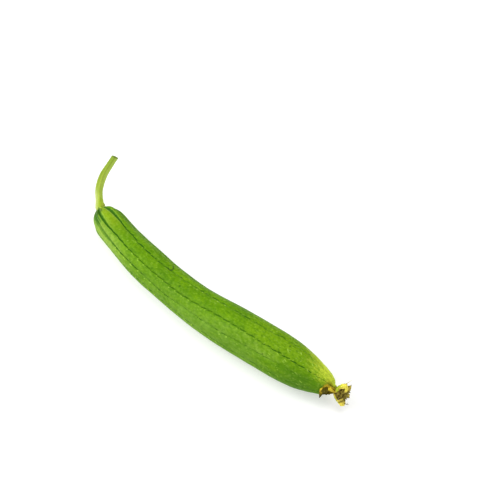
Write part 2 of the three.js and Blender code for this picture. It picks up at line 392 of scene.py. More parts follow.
def skin_relief(distance, grooves):
    """How far the skin stands out from its round radius: lobes, and the creases between them."""
    wave = np.abs(np.sin(np.pi * grooves))
    shoulder = np.exp(-((distance / SHOULDER_REACH) ** 2)) * np.minimum(distance / SHOULDER_START, 1)
    body = np.sin(np.pi * np.clip(distance / fruit_length, 0, 1)) ** 0.6
    rise = SHOULDER_RISE * shoulder + BODY_RISE * body
    groove = GROOVE_DEPTH * np.maximum(shoulder, body * (1 - 0.5 * distance / fruit_length))
    off = np.abs((grooves + 0.5) % 1 - 0.5)
    crease = CREASE_DEPTH * np.exp(-((off / CREASE_WIDTH) ** 2)) * np.clip(body + shoulder, 0, 1)
    relief = rise * wave - groove * (1 - wave) ** 3 - crease
    for place, middle, height in SHOULDER_BUMPS:
        across = (grooves - place) / BUMP_WIDTH[0]
        along = (distance - middle) / BUMP_WIDTH[1]
        relief = relief + height * np.exp(-(across ** 2) - along ** 2)
    return relief


def place_skin(u, v):
    crowded = v - RING_CROWDING * np.sin(2 * np.pi * v) / (2 * np.pi)
    row = fruit_outline.at(crowded)
    distance, radius = row[:, 0], row[:, 1]
    rim = np.minimum(v, 1 - v) * SKIN_RINGS
    closing = np.clip(rim / CLOSING_RINGS, 0, 1)
    radius = radius * closing
    counted = SEAM + u * GROOVE_COUNT
    share = counted % 1
    grooves = counted - COLUMN_CROWDING * np.sin(2 * np.pi * share) / (2 * np.pi)
    section = fruit_middle.section(distance / fruit_length, UP)
    turn = turn_of(grooves, distance)
    bare = point_on(section, turn, radius)
    calm = np.clip(rim / CALM_RINGS, 0, 1)
    streaked = STREAK_HEIGHT + TIP_STREAK_HEIGHT * ease(distance, 262, 325)
    relief = skin_relief(distance, grooves) * closing
    relief += calm * LUMP_HEIGHT * rough(bare / (1.6, 1, 1), 9, 1)
    relief += calm * streaked * rough(bare / (5.5, 1, 1), 1.9, 2)
    skin = point_on(section, turn, radius + relief)
    skin[:, 2] = np.maximum(skin[:, 2], 0)
    return skin, (grooves, distance)


# -------- the skin's colours

# On the skin's map a place is counted in grooves, and each groove has a dark line of its number.
UPPER_LINE = 10
MIDDLE_LINE = 11
NEAR_LINE = 12
LOBE_MM = 12
STROKE_MM = 9.5
# Healed marks: [place counted in grooves, distance].
SPECKS = [(10.33, 282), (11.85, 264.5), (10.62, 154.5)]
HOOK_PLACE = (9.755, 128.2)
HOOK_SIZE = (4.3, 2.7)
HOOK_LEAN = 0.6

DEEP_GREEN = color(86, 134, 6)
MID_GREEN = color(102, 150, 8)
SHADE_GREEN = color(70, 116, 4)
CREST_GREEN = color(130, 170, 16)
STREAK_GREEN = color(116, 160, 22)
BLOOM_AND_SHEEN_GREEN = color(118, 160, 56)
PALE_BLOOM_AND_LIGHT = color(158, 192, 76)
TIP_SHADE_GREEN = color(78, 124, 26)
NUB_GREEN = color(152, 178, 34)
HEAD_OLIVE = color(120, 140, 14)
FRECKLE_PALE = color(156, 190, 76)
FRECKLE_DARK = color(68, 112, 2)
SHOULDER_GREEN = color(64, 114, 40)
ROOT_GREEN = color(88, 116, 28)
ROOT_PALE = color(162, 184, 62)
ROOT_RING = color(64, 92, 20)
TIP_GREEN = color(212, 230, 66)
NECK_OLIVE = color(140, 126, 20)
LINE_GREEN = color(46, 98, 12)
HEAD_LINE = color(56, 108, 20)
GROOVE_EDGE_HIGHLIGHT = color(160, 198, 78)
FLECK_GREEN = color(170, 210, 78)
SPECK_GREEN = color(44, 78, 20)


class SkinMap:
    """Where a place of the skin is: the line nearest to it, how far off that is, and its textures."""

    def __init__(self, f):
        self.grooves, self.distance = grooves, distance = f.map_numbers("skin")
        self.line = line = (grooves + 0.5).floor()
        self.middle = line.within(MIDDLE_LINE, MIDDLE_LINE)
        self.near = line.within(NEAR_LINE, NEAR_LINE)
        self.near_side = grooves.between(10.6, 12.4, 14.2, 15.2)
        self.low = self.near_side * distance.between(70, 140, 235, 285)
        self.head = distance.ease(62, 14)
        self.broad = distance.ease(50 + 26 * self.near, 16 + 16 * self.near)
        # Past the head a line is a row of slightly turned strokes.
        drift = 1.3 * f.noise(f.vector(line * 4.1, distance / 30), 1, 0)
        phase = distance / STROKE_MM + drift + line * 0.37
        self.stroke = phase - phase.floor()
        self.luck = f.noise(f.vector(phase.floor() * 3.7, line * 5.3), 1, 0)
        turned = (self.stroke - 0.5) * 0.9 * distance.ease(30, 70)
        wobble = f.noise(f.vector(line * 7.3, distance / 12), 1, 2) - 0.5
        jag = f.noise(f.vector(line * 3.1, distance / 3.6), 1, 1) - 0.5
        self.aside = (grooves - line + wobble * 0.1 + jag * 0.08) * LOBE_MM + turned
        self.off = abs(self.aside)
        self.clouds = f.noise(f.object_place(2.6), 60, 3)
        self.patches = f.noise(f.object_place(1.6), 170, 3, 0.6)
        self.mottle = f.noise(f.object_place(1.7), 380, 4, 0.62)
        self.streaks = f.noise(f.object_place(7), 620, 3, 0.6)
        self.fine = f.noise(f.object_place(1.5), 1100, 2, 0.6)
        # The yellow of the tip starts earlier on the far side than on the near side.
        around = (grooves - 8.5) * (2 * math.pi / GROOVE_COUNT)
        uneven = 34 * (self.streaks - 0.5) + 20 * (self.mottle - 0.5)
        uneven = uneven + 30 * (self.fine - 0.5) + 14 * (self.clouds - 0.5)
        self.tip = (distance + 26 * around.cos() + uneven).ease(306, 344)


def lobe_green(f, skin):
    """The green of the lobes: mottled, with painted highlights on their crests and by the stem on the
    near side, painted shade under the tip, and dull with bloom and painted sheen low down.
    """
    grooves, distance, head = skin.grooves, skin.distance, skin.head
    clouds, patches, mottle = skin.clouds, skin.patches, skin.mottle
    # The lobes are painted lighter away from their lines, most at the head where they stand out: a
    # painted highlight.
    crest_highlight = skin.off.ease(1.5, 5.5) * (0.35 + 0.5 * head) * clouds.ease(0.2, 0.9)
    light = distance.between(225, 250, 288, 326) * grooves.ease(12, 10.6)
    bloom = 0.48 + 0.8 * (clouds - 0.5) + 1.3 * (patches - 0.5)
    dusty = distance.between(205, 250, 262, 300) + distance.between(18, 38, 45, 90)
    dusty = dusty * grooves.between(10.9, 11.5, 11.7, 12.4) * patches.ease(0.3, 0.7)
    crown = grooves.between(10, 10.4, 10.6, 11) * distance.between(50, 85, 105, 150)
    # The near side and underside by the tip are painted darker: painted shade.
    tip_underside_shade = grooves.ease(10.9, 12.3) * distance.ease(265, 306) * (1 - 0.4 * distance.ease(308, 322))
    nub = grooves.between(9.9, 10.2, 10.7, 11.05) * distance.ease(74, 26)
    freckles = f.noise(f.object_place(1.4), 480, 2)
    return f.paint(
        DEEP_GREEN,
        (clouds.ease(0.32, 0.68), MID_GREEN),
        (crest_highlight, CREST_GREEN),
        (light * 0.5, CREST_GREEN),
        (skin.streaks.ease(0.52, 0.75) * 0.35, STREAK_GREEN),
        (mottle.ease(0.5, 0.66) * 0.62, SHADE_GREEN),
        (mottle.ease(0.5, 0.34) * 0.35, CREST_GREEN),
        (skin.fine.ease(0.44, 0.66) * 0.4, SHADE_GREEN),
        # Low on the near side a bluish bloom, partly a painted sheen.
        ((skin.low * bloom).at_least(0), BLOOM_AND_SHEEN_GREEN),
        (dusty * 0.42, PALE_BLOOM_AND_LIGHT),
        (crown * 0.3, SHADE_GREEN),
        # Near the stem the near side is painted paler: a painted highlight.
        (skin.near_side * distance.ease(110, 30) * 0.7, PALE_BLOOM_AND_LIGHT),
        (tip_underside_shade * 0.7, TIP_SHADE_GREEN),
        (nub * (1.3 * mottle - 0.25).at_least(0), NUB_GREEN),
        (head * patches.ease(0.5, 0.66) * 0.4, HEAD_OLIVE),
        (freckles.ease(0.5, 0.8) * 0.32, FRECKLE_PALE),
        (freckles.ease(0.5, 0.25) * 0.4, FRECKLE_DARK),
    )


def paint_ends(f, skin, green):
    """The dark shoulder, the ring round the stem's foot, and the yellow tip."""
    grooves, distance, mottle = skin.grooves, skin.distance, skin.mottle
    edge = distance.ease(14, 18) * 0.27 + 10.95
    shoulder = distance.ease(31, 23) * grooves.ease(edge, edge + 0.25) * grooves.ease(12.55, 12.2)
    ring = distance.between(6, 9, 14, 19) * grooves.between(10.45, 10.65, 11.4, 11.8)
    tip = skin.tip * (0.4 + 0.55 * skin.fine + 0.5 * mottle)
    return f.paint(
        green,
        ((shoulder * (0.6 + 0.6 * mottle)).at_most(1), SHOULDER_GREEN),
        (distance.ease(14, 7) * grooves.ease(11.2, 12) * 0.5, ROOT_GREEN),
        (distance.ease(9, 5) * grooves.ease(12, 11.4), ROOT_PALE),
        (ring * 0.7, ROOT_RING),
        (tip.at_most(1), TIP_GREEN),
        (distance.ease(324, 331) * grooves.ease(10.2, 11) * 0.8, NECK_OLIVE),
    )


def line_strength(f, skin):
    """How dark each line is, and where along it that changes. Of the lines that face up, the two
    beside the middle one fade after the first third."""
    line, distance, middle, near = skin.line, skin.distance, skin.middle, skin.near
    beside = 1 - middle
    upper = line.within(UPPER_LINE, UPPER_LINE)
    faced = line.within(UPPER_LINE, NEAR_LINE)
    strength = (f.noise(f.vector(line * 5.9, 3.1), 1) * 0.9 + 0.5 + 0.3 * faced).at_most(1)
    for change, where in (
        (-0.3, distance.ease(120, 165) * beside),
        (-0.35, distance.ease(240, 300) * beside),
        (-0.3, distance.ease(75, 95) * middle),
        (0.4, distance.ease(235, 265) * middle),
        (-0.45, skin.broad * near),
        (-0.75, distance.ease(33, 26) * near),
        (0.35, distance.ease(125, 160) * upper),
        (-1, distance.between(128, 131, 136, 142) * upper),
    ):
        strength = strength * (1 + change * where)
    return strength


def paint_lines(f, skin, green):
    """The dark lines, unbroken and broad at the stem, then thin and broken, with painted shade and
    highlights beside them.
    """
    line, distance, stroke, off = skin.line, skin.distance, skin.stroke, skin.off
    near, broad, head = skin.near, skin.broad, skin.head
    half = 0.54 + 1.9 * broad * (0.6 + 0.8 * (f.noise(f.vector(line * 2.1, distance / 9), 1) - 0.2))
    half = half * (1 - (1 - stroke.between(0, 0.35, 0.65, 1)) * 0.5 * distance.ease(40, 80))
    half = half * (1 + 0.3 * near * broad) + 0.3 * distance.ease(130, 60)
    dash = f.noise(f.vector(line * 3.7 + 5.1, distance / 6.5), 1, 3, 0.62)
    gone = distance.ease(60, 150) * (0.17 - 0.1 * skin.middle) + near * 0.05
    joint = 1 - stroke.between(0, 0.1, 0.9, 1)
    unbroken = dash.ease(gone + 0.24, gone + 0.4) * (1 - joint * 0.7 * distance.ease(40, 90))
    dark = off.ease(half * (1.1 + 0.25 * broad), half * (0.4 - 0.15 * broad))
    dark = dark * unbroken * line_strength(f, skin)
    # Pale edges along the grooves, mostly at the head: a painted highlight.
    edge = off.ease(half + 1.6, half + 0.3) * off.ease(half * 0.6, half + 0.4)
    edge = edge * (0.05 + 0.8 * head * skin.mottle) * distance.ease(15, 20)
    green = f.paint(
        green,
        # Beside each line the groove is painted darker, most at the head: painted shade.
        (off.ease(half + 1.8, half * 0.5) * (0.12 + 0.25 * head), SHADE_GREEN),
        (edge * unbroken, GROOVE_EDGE_HIGHLIGHT),
        (dark * (1 - 0.3 * skin.tip), f.mix(broad, LINE_GREEN, HEAD_LINE)),
    )
    return green, dark


def hook_mark(grooves, distance):
    """A healed scratch in the shape of a hook: how far a place is from its middle, and the scratch."""
    aside = (grooves - HOOK_PLACE[0]) * LOBE_MM
    ahead = distance - HOOK_PLACE[1]
    lengthwise = ahead * math.cos(HOOK_LEAN) + aside * math.sin(HOOK_LEAN)
    across = aside * math.cos(HOOK_LEAN) - ahead * math.sin(HOOK_LEAN)
    from_middle = ((lengthwise / HOOK_SIZE[0]) ** 2 + (across / HOOK_SIZE[1]) ** 2) ** 0.5
    closed = (lengthwise - 0.8 * across).ease(-1.9, -1.2)
    return from_middle, abs(from_middle - 1).ease(0.38, 0.14) * closed


def paint_marks(f, skin, green):
    """Pale flecks beside the lines, pale dashes on the tip, small cracks and healed marks."""
    grooves, distance, mottle = skin.grooves, skin.distance, skin.mottle
    from_joint = skin.stroke.at_most(1 - skin.stroke) * STROKE_MM
    from_fleck = ((from_joint / 1.9) ** 2 + ((skin.aside - 3.2 * skin.luck + 0.4) / 0.7) ** 2) ** 0.5
    lucky = skin.luck.ease(0.47, 0.6) * (0.55 + 0.9 * mottle)
    flecks = from_fleck.ease(1.2, 0.3) * lucky * distance.between(40, 75, 220, 260)
    leaning = f.vector(grooves * 5.1 + distance * 0.12, distance / 10)
    crosswise = f.vector(grooves * 4.3 - distance * 0.2, distance / 9)
    dashes = f.spots(leaning, 1, 0.13, 0.07)
    dashes = dashes + f.spots(leaning, 1.4, 0.16, 0.4) * distance.ease(225, 300)
    dashes = dashes + 1.3 * f.spots(crosswise, 0.9, 0.2, 0.22) * distance.ease(240, 290)
    pale = (flecks * 0.8 + dashes * 0.6).at_most(1) * (0.5 + skin.fine)
    crossing = f.vector(grooves * 3.3 - distance * 0.55, distance * 0.16 + grooves * 0.4)
    cracks = f.spots(crossing, 1, 0.13, 0.16) * mottle.ease(0.4, 0.55)
    specks = f.spots(f.object_place(1.5), 95, 0.075, 0.16, flat=False)
    for place, along in SPECKS:
        apart = ((grooves - place) * LOBE_MM) ** 2 + (distance - along) ** 2
        specks = specks.at_least(apart.ease(1.3, 0.4))
    from_middle, hook = hook_mark(grooves, distance)
    green = f.paint(
        green,
        (pale, FLECK_GREEN),
        (from_middle.ease(0.85, 0.3) * 0.35, STREAK_GREEN),
        ((specks * 0.55 + hook * 0.75 + cracks * 0.4).at_most(1), SPECK_GREEN),
    )
    return green, pale, cracks


def skin_finish():
    f = Finish("gourd_skin")
    skin = SkinMap(f)
    green = paint_ends(f, skin, lobe_green(f, skin))
    green, dark = paint_lines(f, skin, green)
    green, pale, cracks = paint_marks(f, skin, green)
    grain = f.noise(f.object_place(1.4), 1500, 2)
    height = grain * 0.4 + skin.fine * 0.5 + skin.mottle * 0.7 + skin.streaks * 0.8
    height = height + pale * 0.9 - dark * 1.6 - cracks * 0.8
    roughness = 0.42 + 0.14 * skin.mottle + 0.12 * dark + 0.08 * skin.low - 0.04 * pale
    return f.coat(green, roughness, f.bump(height, 0.2 * MM), Specular_IOR_Level=0.04)


def make_skin():
    bm = bmesh.new()
    layer = bm.loops.layers.uv.new("skin")
    shaped_grid(bm, GROOVE_COUNT * COLUMNS_PER_LOBE, SKIN_RINGS, place_skin, layer)
    bmesh.ops.remove_doubles(bm, verts=bm.verts, dist=0.02 * MM)
    finished_piece("skin", bm, skin_finish(), "fruit")


# -------- the stem

STEM_ANGLES = 5
STEM_RIDGE = 0.08
STEM_TWIST = 0.5
STEM_COLUMNS = 80
STEM_RINGS = 220
# The stem's path starts this far inside the fruit, and leaves it this far out.
STEM_INSIDE = 2.2
STEM_OUTSIDE = 1.8
STEM_SWELL = 0.28
SWELL_MIDDLE = 37
SWELL_WIDTH = 12
STEM_TAPER = 0.2
# The last rings of the stem lie in its cut end, which is slanted and dished.
CUT_FROM = 0.955
CUT_SLANT = 0.2
CUT_RIM = 0.35
CUT_LIP = 0.35
CUT_DISH = 0.9
# At its foot the stem flares all round, and more where it runs into the shoulder.
ROOT_FLARE = 1.3
ROOT_REACH = 3.6
SHOULDER_FLARE = 1.9
SHOULDER_FROM = 8.8
SHOULDER_FADE = 2.15
SHOULDER_TURN = 0.39

STEM_DEEP = color(142, 168, 40)
STEM_MID = color(158, 180, 56)
STEM_FIBRE = color(180, 198, 70)
STEM_CREST_HIGHLIGHT = color(186, 200, 88)
STEM_FURROW_SHADE = color(116, 146, 34)
STEM_UPPER = color(128, 164, 44)
STEM_PAINTED_LIGHT = color(196, 220, 98)
STEM_PAINTED_SHADE = color(112, 132, 20)
STEM_PAINTED_HIGHLIGHT = color(208, 214, 146)
STEM_EDGE_SHADE = color(92, 118, 48)
STEM_SPECK = color(104, 120, 36)
FOOT_YELLOW = color(140, 168, 14)
FOOT_BROWN = color(142, 150, 58)
CUT_DEEP = color(104, 128, 40)
CUT_PALE = color(146, 166, 74)
CUT_MIDDLE = color(104, 122, 46)
CUT_EDGE = color(84, 104, 34)


def stem_path():
    root, ahead, _, _ = fruit_middle.section(np.zeros(1), UP)
    points = [root[0] + ahead[0] * STEM_INSIDE, root[0] - ahead[0] * STEM_OUTSIDE]
    return Path(np.vstack([points, np.array(STEM_MIDDLE) + TO_MIDDLE]))


def stem_radius(distance):
    """The stem swells in its middle and tapers to its cut end."""
    swell = STEM_SWELL * np.exp(-(((distance - SWELL_MIDDLE) / SWELL_WIDTH) ** 2))
    return STEM_RADIUS + swell - STEM_TAPER * ease(distance, 46, 62)


def stem_flare(distance, turn):
    """How far the stem's foot stands out from its round radius."""
    root = ROOT_FLARE * np.exp(-np.maximum(distance - 2, 0) / ROOT_REACH)
    root = root * (1 + 0.95 * np.sin(turn) + 0.05 * np.cos(5 * turn + 1.3))
    root = root * (0.3 + 0.7 * ease(distance, 0, 3))
    spread = SHOULDER_FLARE * np.exp(-np.maximum(distance - SHOULDER_FROM, 0) / SHOULDER_FADE)
    spread = spread * ease(distance, -0.5, 7)
    return root + spread * np.maximum(np.sin(turn + SHOULDER_TURN), 0) ** 2.7


def place_stem(u, v):
    path = stem_path()
    share = np.clip(v / CUT_FROM, 0, 1)
    inward = np.clip((v - CUT_FROM) / (1 - CUT_FROM), 0, 1)
    distance = share * path.length
    turn = 2 * np.pi * u
    turned = turn - STEM_TWIST * share
    section = path.section(share, UP)
    size = stem_radius(distance) * (1 + STEM_RIDGE * np.cos(STEM_ANGLES * turned))
    size = size + stem_flare(distance, turn)
    size = size + 0.1 * rough(point_on(section, turn, size), 2.4, 5) + 0.05 * np.cos(15 * turned)
    bevel = np.clip(inward / 0.22, 0, 1)
    size = np.where(inward > 0, size * (1 - inward) - CUT_RIM * bevel * (1 - inward), size)
    lip = CUT_LIP * np.sin(np.pi * np.clip(inward / 0.3, 0, 1)) * (inward < 0.3)
    dish = lip - CUT_DISH * ease(inward, 0.35, 1)
    slant = -np.where(inward > 0, 1.0, ease(share, 0.93, 1)) * CUT_SLANT * size * np.cos(turn)
    return point_on(section, turn, size, slant + dish), (u, distance + inward * 4)


def stem_finish(length):
    f = Finish("stem_skin")
    around, distance = f.map_numbers("stem")
    clouds = f.noise(f.object_place(), 130, 3)
    fibres = f.noise(f.vector(around * 34, distance / 16), 1, 3, 0.6)
    turned = around * (2 * math.pi * STEM_ANGLES) - distance * (STEM_TWIST * STEM_ANGLES / length)
    ridges = turned.cos() * 0.5 + 0.5
    # The side turned from the light is painted lighter, and the other side is painted darker higher up
    # and given a pale painted highlight low down.
    turned_from_light = ((around - 0.239 - distance * 0.0019) * (2 * math.pi)).cos()
    # At its foot the stem is yellower, and brownish beside the shoulder.
    sideways = ((around - 0.25) * (2 * math.pi)).cos()
    warm = distance.ease(20, 11) * turned_from_light.ease(-0.25, 0.25) * turned_from_light.ease(0.98, 0.7)
    pith = f.noise(f.object_place(), 900, 2)
    middle = distance.ease(length + 2.6, length + 3.6)
    face = f.paint(CUT_DEEP, (pith.ease(0.35, 0.65), CUT_PALE), (middle, CUT_MIDDLE))
    rim = distance.between(length - 0.9, length + 0.1, length + 0.4, length + 1.1)
    specks = f.spots(f.object_place(), 260, 0.1, 0.2, flat=False)
    green = f.paint(
        STEM_DEEP,
        (clouds.ease(0.3, 0.7), STEM_MID),
        (fibres.ease(0.4, 0.7) * 0.6, STEM_FIBRE),
        # Along the five ridges: a painted highlight on their crests and painted shade in their furrows.
        (ridges.ease(0.62, 1) * 0.25, STEM_CREST_HIGHLIGHT),
        (ridges.ease(0.4, 0) * 0.22, STEM_FURROW_SHADE),
        (distance.ease(length - 30, length - 6) * 0.5, STEM_UPPER),
        (turned_from_light.ease(-0.1, 0.4) * (0.34 + 0.31 * distance.ease(25, 50)), STEM_PAINTED_LIGHT),
        (turned_from_light.ease(0.1, -0.45) * distance.ease(16, 44) * 0.5, STEM_PAINTED_SHADE),
        (turned_from_light.ease(-0.2, -0.75) * distance.ease(34, 16) * 0.4, STEM_PAINTED_HIGHLIGHT),
        # A thin dark edge painted high on the side turned from the light, where the stem's outline lies
        # in view: painted shade.
        (turned_from_light.ease(0.84, 0.97) * distance.ease(38, 50) * 0.5, STEM_EDGE_SHADE),
        (warm * 0.75, FOOT_YELLOW),
        (distance.ease(10, 6.5) * sideways.ease(0.2, 0.9) * 0.65, FOOT_BROWN),
        (distance.ease(length + 0.15, length + 0.5), face),
        (rim * 0.75, CUT_EDGE),
        (specks * 0.4, STEM_SPECK),
    )
    fuzz = f.noise(f.object_place(), 2600, 2)
    height = fibres * 1.1 + fuzz * 0.3 + clouds * 0.4
    return f.coat(green, 0.5 + 0.18 * fibres, f.bump(height, 0.18 * MM), Specular_IOR_Level=0.18)


def make_stem():
    bm = bmesh.new()
    layer = bm.loops.layers.uv.new("stem")
    shaped_grid(bm, STEM_COLUMNS, STEM_RINGS, place_stem, layer)
    bmesh.ops.remove_doubles(bm, verts=bm.verts, dist=0.01 * MM)
    holes = [edge for edge in bm.edges if edge.is_boundary]
    bmesh.ops.holes_fill(bm, edges=holes, sides=0)
    finished_piece("cut_stem", bm, stem_finish(stem_path().length), "stem")


# -------- the dried flower

TO_NEAR_SIDE = (0.48, -0.5, 0.72)
PETAL_COLUMNS = 26
PETAL_ROWS = 60
PETAL_WALL = 0.34

# Each petal has a spine from its root to its point, half its width along the way, how far its
# margins curl back (radians), how deep it is crumpled, and tones: [along, across, how dry].
# Dryness runs from 0, dull olive, over yellow, tan and brown to 1, nearly black.
YELLOW_PETALS = {
    "upper": dict(
        spine=[(172.4, -10.6, 21), (174.2, -9.3, 22.9), (176, -7.7, 24.5), (177.7, -6.2, 25.5),
               (179.2, -5, 25.5), (180.4, -4.1, 24.1)],
        half=[1.9, 2.2, 2.6, 3, 3, 1.3], curl=1, crumple=0.16,
        tones=[(0, 0, 0.02), (0.1, 1, 0.6), (0.3, 1, 0.6), (0.2, -0.8, 0.04), (0.3, 0, 0.07),
               (0.5, 0, 0.09), (0.6, 0.3, 0.13), (0.7, -0.5, 0.17), (0.85, 0, 0.22), (0.45, 1, 0.5),
               (0.7, 1, 0.42), (0.8, -1, 0.28), (1, -0.4, 0.42), (1, 0.5, 0.3)]),
    # The crescent's tones near 0.2 take the painted highlight.
    "crescent": dict(
        spine=[(177.9, -5.4, 26.5), (179.8, -5.5, 26), (181, -5.9, 24.6), (181.1, -7, 22.9),
               (180.5, -8.1, 21.5)],
        half=[1, 1.7, 1.7, 1.3, 0.5], curl=1.1, crumple=0.12,
        tones=[(0, 0, 0.16), (0.3, 0.3, 0.2), (0.7, 0.2, 0.2), (0.35, -1, 0.3), (0.7, -1, 0.36),
               (1, 0, 0.34)]),
    "diagonal": dict(
        spine=[(181.1, -5.9, 23.2), (180.7, -8, 22.6), (180.4, -10.1, 21.2), (180.4, -11.8, 18.7)],
        half=[1, 1.1, 1, 0.3], curl=1.3, crumple=0.15,
        tones=[(0, 0, 0.28), (0.35, 0, 0.4), (0.65, 0, 0.43), (1, 0, 0.54), (0.5, -1, 0.52)]),
    "left_edge": dict(
        spine=[(173.1, -12.4, 19.2), (174.2, -14, 18.2), (176.3, -15, 17), (178.8, -15.5, 15.5),
               (181.2, -15.7, 13.7)],
        half=[1.2, 1.4, 1.4, 1.4, 0.6], curl=1.1, crumple=0.14,
        tones=[(0, 0, 0.36), (0.12, 0, 0.36), (0.3, 0.8, 0.04), (0.3, -0.6, 0.5), (0.55, 0.8, 0.02),
               (0.6, -0.6, 0.48), (1, 0, 0.08)]),
    "lower": dict(
        spine=[(179.4, -12.4, 15.9), (181.7, -13.4, 15), (183.4, -14.1, 14), (184.6, -14.7, 11.7)],
        half=[2.9, 3.2, 3.3, 3.1, 2], curl=0.95, crumple=0.2,
        tones=[(0, 0, 0.42), (0.35, 0, 0.46), (0.3, 0.9, 0.24), (0.6, 0.9, 0.22), (0.7, 0, 0.32),
               (0.9, 0, 0.26), (1, 0, 0.28), (0.6, -0.9, 0.4)]),
    "cross": dict(
        spine=[(179.6, -16, 15.5), (181.1, -14.9, 16.3), (181.9, -13.4, 17.1), (182.1, -11.5, 17.5)],
        half=[0.5, 0.8, 0.9, 0.4], curl=1.3, crumple=0.15,
        tones=[(0, 0, 0.36), (0.5, 0, 0.4), (0.8, 0, 0.36), (1, 0, 0.46)]),
}
BROWN_PETALS = {
    "flap": dict(
        spine=[(181.7, -4.7, 19.4), (181.6, -3.4, 21.3), (181.3, -1.7, 22.9), (180.8, 0.5, 24.8)],
        half=[1.4, 1.6, 1.2, 0.12], curl=0.6, crumple=0.25,
        tones=[(0, 0, 0.48), (0.35, 0, 0.4), (0.65, 0, 0.34), (1, 0, 0.5), (0.5, 1, 0.46)]),
    "notch": dict(
        spine=[(178.7, -2.9, 21.1), (179.4, -1.4, 22.2), (180.2, 0.2, 22.8)],
        half=[1.1, 1, 0.3], curl=0.5, crumple=0.3, tones=[(0, 0, 0.54), (0.5, 0, 0.56), (1, 0, 0.56)]),
    "dark_tip": dict(
        spine=[(180.2, -6, 20.1), (182.1, -5, 20.4), (183.7, -3.6, 19.7)],
        half=[1.3, 1.3, 0.15], curl=0.8, crumple=0.3, tones=[(0, 0, 0.52), (0.6, 0, 0.5), (1, 0, 0.64)]),
    "grey_green": dict(
        spine=[(179.8, -8.2, 19.6), (181.6, -7.6, 20), (183.4, -7.1, 18.9), (184.9, -7, 16.6)],
        half=[1.5, 2.4, 2.2, 0.3], curl=0.8, crumple=0.4,
        tones=[(0, 0, 0.56), (0.3, 0, 0.56), (0.55, 0, 0.46), (0.75, -0.3, 0.4), (0.8, 0.7, 0.5),
               (1, 0, 0.42)]),
    "mauve_edge": dict(
        spine=[(180.3, -10.6, 17.7), (182.5, -10.1, 17.4), (184.6, -8.9, 15.7)],
        half=[1.1, 1.6, 0.2], curl=0.8, crumple=0.35,
        tones=[(0, 0, 0.54), (0.45, -0.5, 0.44), (0.6, 0.4, 0.56), (1, 0, 0.5)]),
    "side_tip": dict(
        spine=[(182.4, -8.6, 17.1), (184, -7.7, 17.2), (185.5, -6.3, 16.4)],
        half=[1, 1, 0.2], curl=0.9, crumple=0.3, tones=[(0, 0, 0.46), (0.6, 0, 0.46), (1, 0, 0.5)]),
    "olive_side": dict(
        spine=[(181, -10.5, 16.4), (183, -10.9, 15.1), (184.4, -11.9, 12.9)],
        half=[1, 1.3, 0.3], curl=0.9, crumple=0.3, tones=[(0, 0, 0.56), (0.5, 0, 0.54), (1, 0, 0.42)]),
    "mauve_fold": dict(
        spine=[(176.2, -10.9, 23), (177.1, -12.5, 21.8), (177.6, -14, 19.9), (178.2, -15.2, 17.5)],
        half=[0.4, 0.9, 1.3, 0.9], curl=1.2, crumple=0.2,
        tones=[(0, 0, 0.62), (0.4, 0, 0.54), (0.75, 0, 0.57), (1, 0, 0.64)]),
    "back_one": dict(
        spine=[(172.5, -7.5, 19.3), (173.8, -4.3, 20.3), (175.7, -1.9, 21.8), (176.9, -1.2, 23.7)],
        half=[1.2, 2.2, 2, 0.4], curl=0.9, crumple=0.5, facing=(0.2, -0.8, 0.2),
        tones=[(0, 0, 0.15), (0.5, 0, 0.4), (1, 0, 0.62)]),
    "back_two": dict(
        spine=[(174.3, -8, 16.4), (176.8, -4.9, 16.2), (179.5, -2.9, 17.2), (180.7, -2.1, 19.2)],
        half=[1.2, 2.3, 1.8, 0.3], curl=0.9, crumple=0.5, facing=(0.2, -0.6, 0.6),
        tones=[(0, 0, 0.2), (0.5, 0, 0.5), (1, 0, 0.65)]),
    "back_three": dict(
        spine=[(174.9, -10.4, 14.8), (178.1, -9.3, 12.8), (181.1, -9.2, 12.3), (183.1, -10, 12.3)],
        half=[1.2, 2, 1.6, 0.3], curl=0.9, crumple=0.45, facing=(0, -0.2, 0.9),
        tones=[(0, 0, 0.2), (0.5, 0, 0.45), (1, 0, 0.6)]),
}
